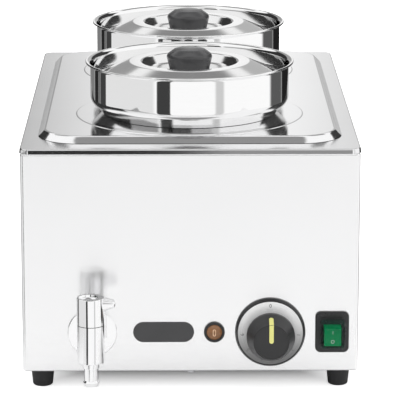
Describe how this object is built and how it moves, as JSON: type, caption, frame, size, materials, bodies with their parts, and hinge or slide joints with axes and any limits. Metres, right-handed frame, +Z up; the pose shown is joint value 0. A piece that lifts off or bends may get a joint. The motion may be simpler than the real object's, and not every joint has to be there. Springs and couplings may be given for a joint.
{
  "type": "bain marie",
  "caption": "Countertop wet-well bain marie in brushed steel with lidded round pots, drain tap, thermostat dial and rocker switch.",
  "frame": {"origin": "on the table, under the middle of the overall width and depth", "axes": "+Z up, front with the controls towards -Y, +X to the right seen from the front"},
  "size_m": [0.34, 0.6196, 0.3248],
  "materials": {
    "brushed_shell": "fine horizontal brushing",
    "deck_steel": "satin deck and drawn well",
    "plate_steel": "bright pressed plate",
    "pot_steel": "mirror polished",
    "base_steel": "mill finish",
    "screw_steel": "bright zinc",
    "tap_chrome": "bright chrome",
    "valve_brass": "turned",
    "foot_rubber": "matt moulded",
    "hose_silicone": "translucent silicone",
    "gasket_fibre": "red fibre",
    "heater_aluminium": "rolled",
    "element_sheath": "dull sheath",
    "capillary_copper": "copper",
    "case_plastic": "moulded black",
    "block_plastic": "moulded white",
    "knob_plastic": "satin black",
    "bezel_plastic": "gloss black",
    "ring_aluminium": "spun brushing",
    "pointer_yellow": "lime yellow",
    "amber_lens": "amber",
    "clear_hood": "clear flexible",
    "rocker_green": "lit green"
  },
  "bodies": {
    "cabinet": {"front_panel": "brushed_shell", "right_panel": "brushed_shell", "rear_panel": "brushed_shell", "left_panel": "brushed_shell", "base_plate": "base_steel", "base_screws": "screw_steel", "deck": "deck_steel", "well": "deck_steel", "drain_stub": "deck_steel", "heater_studs": "screw_steel", "deck_screws": "screw_steel", "feet": "foot_rubber", "foot_screws": "screw_steel", "foot_nuts": "screw_steel", "tap_escutcheon": "tap_chrome", "tap_body": "tap_chrome", "tap_cartridge": "valve_brass", "tap_spout": "tap_chrome", "tap_gasket": "gasket_fibre", "tap_nut": "valve_brass", "drain_hose": "hose_silicone", "hose_clips": "screw_steel", "heater_plate": "heater_aluminium", "heating_element": "element_sheath", "heater_clamps": "base_steel", "heater_nuts": "screw_steel", "overheat_cutout": "case_plastic", "thermostat": "case_plastic", "thermostat_bulb": "capillary_copper", "thermostat_screws": "screw_steel", "dial_bezel": "bezel_plastic", "dial_ring": "ring_aluminium", "pilot_rim": "bezel_plastic", "pilot_lens": "amber_lens", "pilot_holder": "case_plastic", "pilot_nut": "case_plastic", "switch_frame": "bezel_plastic", "switch_housing": "case_plastic", "switch_hood": "clear_hood", "cable_gland": "case_plastic", "gland_nut": "case_plastic", "terminal_block": "block_plastic"},
    "tap_lever": {"tap_head": "tap_chrome", "tap_stem": "valve_brass"},
    "dial": {"dial_knob": "knob_plastic", "dial_pointer": "pointer_yellow", "thermostat_shaft": "screw_steel"},
    "rocker": {"switch_rocker": "rocker_green"},
    "plate": {"pot_plate": "plate_steel"},
    "front_vessel": {"front_pot": "pot_steel"},
    "rear_vessel": {"rear_pot": "pot_steel"},
    "front_cover": {"front_lid": "pot_steel", "front_lid_knob": "knob_plastic", "front_lid_screw": "screw_steel"},
    "rear_cover": {"rear_lid": "pot_steel", "rear_lid_knob": "knob_plastic", "rear_lid_screw": "screw_steel"}
  },
  "joints": [
    {"name": "tap_turn", "type": "hinge", "parent": "cabinet", "child": "tap_lever", "pos_m": [-0.0987, -0.29618, 0.081], "axis": [0, 0, -1], "range_deg": [0, 90]},
    {"name": "dial_turn", "type": "hinge", "parent": "cabinet", "child": "dial", "pos_m": [0.0802, -0.25117, 0.06], "axis": [0, 1, 0], "range_deg": [0, 270]},
    {"name": "rocker_press", "type": "hinge", "parent": "cabinet", "child": "rocker", "pos_m": [0.1425, -0.24818, 0.06], "axis": [-1, 0, 0], "range_deg": [0, 12]},
    {"name": "plate_lift", "type": "slide", "parent": "cabinet", "child": "plate", "axis": [0, 0, 1], "range_m": [0, 0.2]},
    {"name": "front_pot_lift", "type": "slide", "parent": "plate", "child": "front_vessel", "axis": [0, 0, 1], "range_m": [0, 0.18]},
    {"name": "rear_pot_lift", "type": "slide", "parent": "plate", "child": "rear_vessel", "axis": [0, 0, 1], "range_m": [0, 0.18]},
    {"name": "front_lid_lift", "type": "slide", "parent": "front_vessel", "child": "front_cover", "axis": [0, 0, 1], "range_m": [0, 0.1]},
    {"name": "rear_lid_lift", "type": "slide", "parent": "rear_vessel", "child": "rear_cover", "axis": [0, 0, 1], "range_m": [0, 0.1]}
  ]
}
